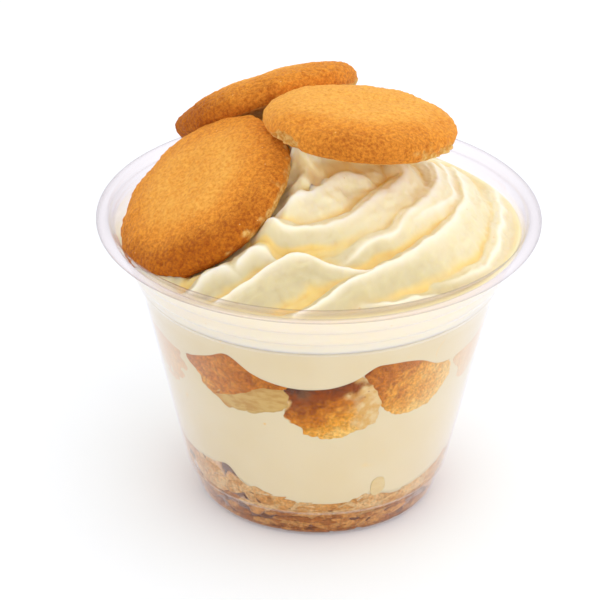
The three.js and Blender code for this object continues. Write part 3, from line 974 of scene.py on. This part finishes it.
def pressed_piece(piece, depth, thickness, seed):
    """A piece pressed flat against the wall: its rings of points and their place across its outline."""
    keys = np.array(OUTLINES[piece["outline"]]) + piece.get("move", (0, 0))
    middle = keys.mean(axis=0)
    around = np.concatenate([keys[-3:], keys, keys[:3]]) - middle
    at = np.linspace(0, len(keys), PIECE_COLUMNS, endpoint=False)
    edge = smooth_curve(np.arange(-3, len(keys) + 3), around, at)
    crumble = polar(np.radians(edge[:, 0]), wall_radius(middle[1]), edge[:, 1])
    edge *= PIECE_SPREAD + layered(crumble, PIECE_CRUMBLE, seed)[:, None]
    back = np.linspace(0, 1, PIECE_ROWS // 2)[1:, None]
    front = np.sqrt(np.linspace(1, 0, PIECE_ROWS))[1:-1, None]
    share = np.concatenate([back, front])
    sunk = np.concatenate([thickness - (thickness - PIECE_EDGE) * back ** 3, PIECE_EDGE * front ** 60])
    bearing = np.radians(middle[0] + share * edge[:, 0])
    height = middle[1] + share * edge[:, 1]
    rough = 0.02 * ripple(on_wall(bearing, height), 2.5, seed + 2)
    rings = on_wall(bearing, height, depth + sunk + rough)
    place = share[..., None] * edge / np.abs(edge).max(axis=0)
    return rings, place


def wall_wafers():
    """The soaked wafers of the middle layer, and the material of the layer's core."""
    soaked = soaked_material()
    for number, wafer in enumerate(WALL_WAFERS, 1):
        depth = PIECE_DEPTH + 0.01 * number
        rings, place = pressed_piece(wafer, depth, PIECE_THICKNESS, 40 + 5 * number)
        # Painted shade: the colour runs browner towards one side of each piece, across its outline.
        bake_and_shade = wafer["bake_and_shade"] + place @ np.array(wafer["brown_and_shade"]) + 0.06 * ripple(rings, 6, 60 + number)
        wander = 0.1 * ripple(rings, 3, 80 + number)
        bare = smoothstep(0.35, 0.75, place[..., 0] + wander)
        corner = smoothstep(0.7, 0.8, wander - place[..., 0]) * smoothstep(0.3, 0.15, place[..., 1])
        marks = {
            "bake_and_shade": with_poles(bake_and_shade, wafer["bake_and_shade"], wafer["bake_and_shade"]),
            "bare": with_poles(np.maximum(bare, corner) * wafer.get("broken", 0)),
            "veil": wafer.get("veil", 0),
        }
        node = f"layer_wafer_{number}"
        add_piece(f"wall_wafer_{number}", skin(rings), soaked, [node], marks)
    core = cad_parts["soaked_layer"]
    core.data.materials.clear()
    core.data.materials.append(soaked)


def banana_slices():
    """The banana slices of the middle layer and the bit in the crumbs."""
    flesh = banana_material()
    for number, piece in enumerate(BANANA_SLICES, 1):
        rings, place = pressed_piece(piece, piece["depth"], piece["thickness"], 100 + 5 * number)
        rim = smoothstep(0.55, 0.95, np.hypot(place[..., 0], place[..., 1]))
        rim = piece.get("golden", 0) * rim * smoothstep(0.2, -0.4, place[..., 0])
        marks = {"rim": with_poles(rim), "veil": piece.get("veil", 0)}
        add_piece(f"banana_{number}", skin(rings), flesh, [f"banana_slice_{number}"], marks)


def ball(divisions):
    """Points and triangles of a unit ball."""
    mesh = bmesh.new()
    bmesh.ops.create_icosphere(mesh, subdivisions=divisions, radius=1)
    points = np.array([vertex.co for vertex in mesh.verts])
    faces = np.array([[vertex.index for vertex in face.verts] for face in mesh.faces])
    mesh.free()
    return points, faces


def crumb_bed():
    """The crumb bed, a solid just behind its pieces, coloured as painted shade in the gaps between them."""
    bearing = full_turn(WALL_COLUMNS)
    share = np.linspace(0, 1, BED_ROWS)[:, None]
    height = BED_BOTTOM + (crumb_edge(bearing) - BED_SINK) * share
    rings = on_wall(bearing, height, BED_DEPTH)
    rough = 0.35 * ripple(rings, 3, 130)
    rings = on_wall(bearing, height, BED_DEPTH - np.clip(rough, -1, 0.6))
    shape = skin(rings, (0, 0, BED_BOTTOM + 0.3), (0, 0, BED_MIDDLE))
    # Painted shade: this dark solid shows only in the gaps between the crumb pieces.
    add_piece("crumb_gap_shade", shape, gap_shade_material(), ["crumb_base"])


def crumb_piece(bearing, group, unit, rng):
    """Points of one broken wafer piece, a ragged unit ball pressed flat against the wall."""
    half_wide = rng.uniform(*group["wide"])
    half_tall = rng.uniform(*group["tall"])
    lowest, highest = group["levels"]
    top = min(highest, crumb_edge(bearing) - half_tall * 0.6)
    level = rng.uniform(lowest, max(top, lowest + 0.1))
    shape = unit * (1 + 0.2 * ripple(unit + rng.uniform(-9, 9, 3), 1.2, 150, 10))[:, None]
    slope = rng.normal(0, CRUMB_SLOPE)
    across = half_wide * (shape[:, 0] * math.cos(slope) - shape[:, 2] * math.sin(slope))
    up = half_tall * (shape[:, 2] * math.cos(slope) + shape[:, 0] * math.sin(slope))
    depth = CRUMB_DEPTH + rng.uniform(0, 0.2) + np.maximum(0.9 + 1.5 * shape[:, 1], 0)
    turn = bearing + across / wall_radius(level)
    ragged = 0.35 * ripple(on_wall(turn, level), 1.3, 151)
    height = np.clip(level + up, CRUMB_LOWEST, crumb_edge(turn) + ragged)
    return on_wall(turn, height, depth)


def crumb_pieces():
    """Broken wafer pieces pressed against the wall: small ones at the foot, larger ones over them."""
    rng = np.random.default_rng(CRUMB_SEED)
    unit, triangles = ball(2)
    points, faces, tones = [], [], []
    for group in CRUMB_GROUPS:
        count = group["count"]
        places = np.arange(count) + rng.uniform(-0.5, 0.5, count)
        for bearing in places * 2 * np.pi * CRUMB_ROUNDS / count:
            faces.append(triangles + len(points) * len(unit))
            points.append(crumb_piece(bearing, group, unit, rng))
            tones.append(np.full(len(unit), group["tone"] + rng.uniform(0, CRUMB_TONES)))
    shape = (np.concatenate(points), np.concatenate(faces).tolist())
    marks = {"tone": np.concatenate(tones)}
    add_piece("crumb_pieces", shape, crumb_material(), ["crumb_base"], marks)


def studio_floor():
    """Plain pale floor under the cup."""
    mesh = bpy.data.meshes.new("floor")
    corners = [(x * FLOOR_HALF, y * FLOOR_HALF, 0) for x, y in ((-1, -1), (1, -1), (1, 1), (-1, 1))]
    mesh.from_pydata(corners, [], [(0, 1, 2, 3)])
    mesh.materials.append(floor_material())
    floor = new_object("floor", mesh)


def surroundings():
    """Bright even surroundings, a little brighter on the side they lean to."""
    world = bpy.data.worlds.new("studio")
    world.use_nodes = True
    nodes = world.node_tree.nodes
    background = nodes["Background"]
    background.inputs["Color"].default_value = (1, 1, 1, 1)
    toward = nodes.new("ShaderNodeVectorMath")
    toward.operation = "DOT_PRODUCT"
    toward.inputs[1].default_value = WORLD_LEAN
    level = nodes.new("ShaderNodeMath")
    level.inputs[1].default_value = WORLD_LEVEL
    links = world.node_tree.links
    links.new(nodes.new("ShaderNodeTexCoord").outputs["Generated"], toward.inputs[0])
    links.new(toward.outputs["Value"], level.inputs[0])
    links.new(level.outputs[0], background.inputs["Strength"])
    bpy.context.scene.world = world
    bpy.context.scene.view_settings.view_transform = "Standard"


def lamps():
    """Large soft lamps from the right, the front and above."""
    for name, lamp in LAMPS.items():
        light = bpy.data.lights.new(name, "AREA")
        light.size = lamp["size"]
        light.energy = lamp["power"]
        holder = new_object(name, light)
        holder.location = lamp["at"]
        holder.rotation_euler = (LAMP_AIM - holder.location).to_track_quat("-Z", "Y").to_euler()


def camera():
    """The photograph's viewpoint."""
    rise = math.radians(CAMERA_ELEVATION)
    forward = Vector((0, math.cos(rise), -math.sin(rise)))
    upward = Vector((0, math.sin(rise), math.cos(rise)))
    data = bpy.data.cameras.new("camera")
    data.lens = CAMERA_LENS
    data.sensor_width = CAMERA_SENSOR
    holder = new_object("camera", data)
    holder.location = (CAMERA_TARGET - forward * CAMERA_DISTANCE) * MM
    aim = (CAMERA_TARGET + upward * CAMERA_AIM_UP + Vector((CAMERA_AIM_RIGHT, 0, 0))) * MM
    look = (aim - holder.location).to_track_quat("-Z", "Y").to_matrix()
    holder.rotation_euler = (look @ Matrix.Rotation(math.radians(CAMERA_ROLL), 3, "Z")).to_euler()
    bpy.context.scene.camera = holder


camera()
studio_floor()
surroundings()
lamps()
clear_cup()
puddings()
wall_wafers()
banana_slices()
crumb_bed()
crumb_pieces()
cream()
top_wafers()
